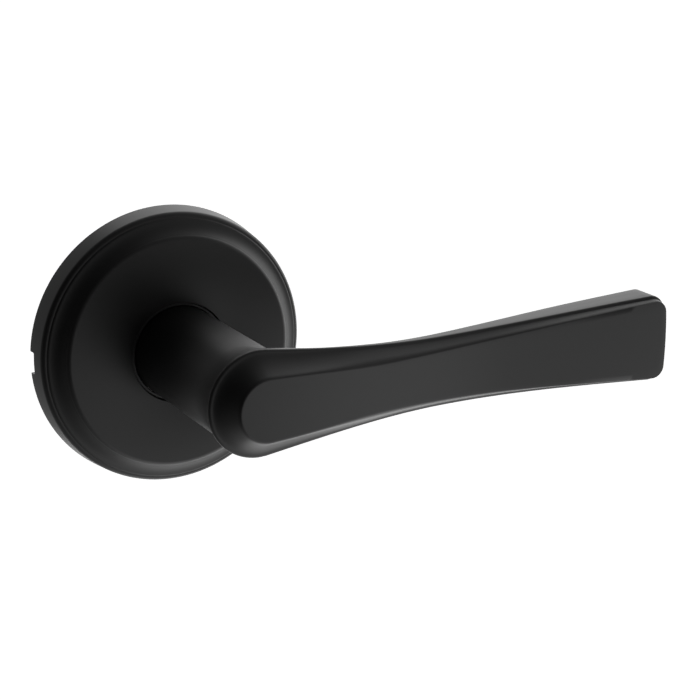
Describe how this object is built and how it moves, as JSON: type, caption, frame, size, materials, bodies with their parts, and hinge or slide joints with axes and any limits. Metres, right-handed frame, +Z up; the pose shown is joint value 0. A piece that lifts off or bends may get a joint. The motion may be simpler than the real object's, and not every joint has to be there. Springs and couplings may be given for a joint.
{
  "type": "lever handle trim",
  "caption": "Passage lever handle with a stepped round rose, sprung return chassis, square spindle and threaded posts for bolting through a door.",
  "frame": {"origin": "on the lever's turning axis, in the plane of the door face that the rose rests on", "axes": "+X along the handle towards its tip, +Y into the door, -Y out towards the hand, +Z up"},
  "size_m": [0.1434, 0.0974, 0.068],
  "materials": {
    "handle_black": "fine satin black powder coat on cast zinc",
    "rose_black": "fine satin black powder coat on formed metal",
    "black_nylon": "moulded black nylon",
    "white_nylon": "moulded natural nylon",
    "zinc_plate": "bright zinc plated steel",
    "spring_steel": "drawn spring steel wire",
    "bare_steel": "cold drawn and stamped steel",
    "blued_steel": "blackened spring steel strip",
    "rubber_black": "soft black rubber ring"
  },
  "bodies": {
    "rose": {"rosette": "rose_black", "rose_bushing": "black_nylon", "mounting_plate": "zinc_plate", "bearing_bush": "white_nylon", "spring_housing": "zinc_plate", "housing_rivets": "bare_steel", "threaded_posts": "zinc_plate", "rose_clips": "blued_steel", "clip_rivets": "bare_steel", "return_spring": "spring_steel"},
    "handle": {"lever": "handle_black", "drive_sleeve": "bare_steel", "drive_cam": "zinc_plate", "neck_ring": "rubber_black", "spindle": "zinc_plate", "spindle_pin": "bare_steel", "thrust_washer": "white_nylon", "wave_washer": "spring_steel", "retaining_ring": "blued_steel"},
    "catch": {"lever_catch": "bare_steel", "catch_spring": "spring_steel"}
  },
  "joints": [
    {"name": "lever_turn", "type": "hinge", "parent": "rose", "child": "handle", "pos_m": [0, 0, 0], "axis": [0, 1, 0], "range_deg": [-45, 45], "stiffness_Nm_per_rad": 3, "deforming": ["return_spring"]},
    {"name": "catch_slide", "type": "slide", "parent": "handle", "child": "catch", "axis": [0, 0, 1], "range_m": [0, 0.0022], "stiffness_N_per_m": 400, "springref_m": -0.004, "deforming": ["catch_spring"]}
  ]
}
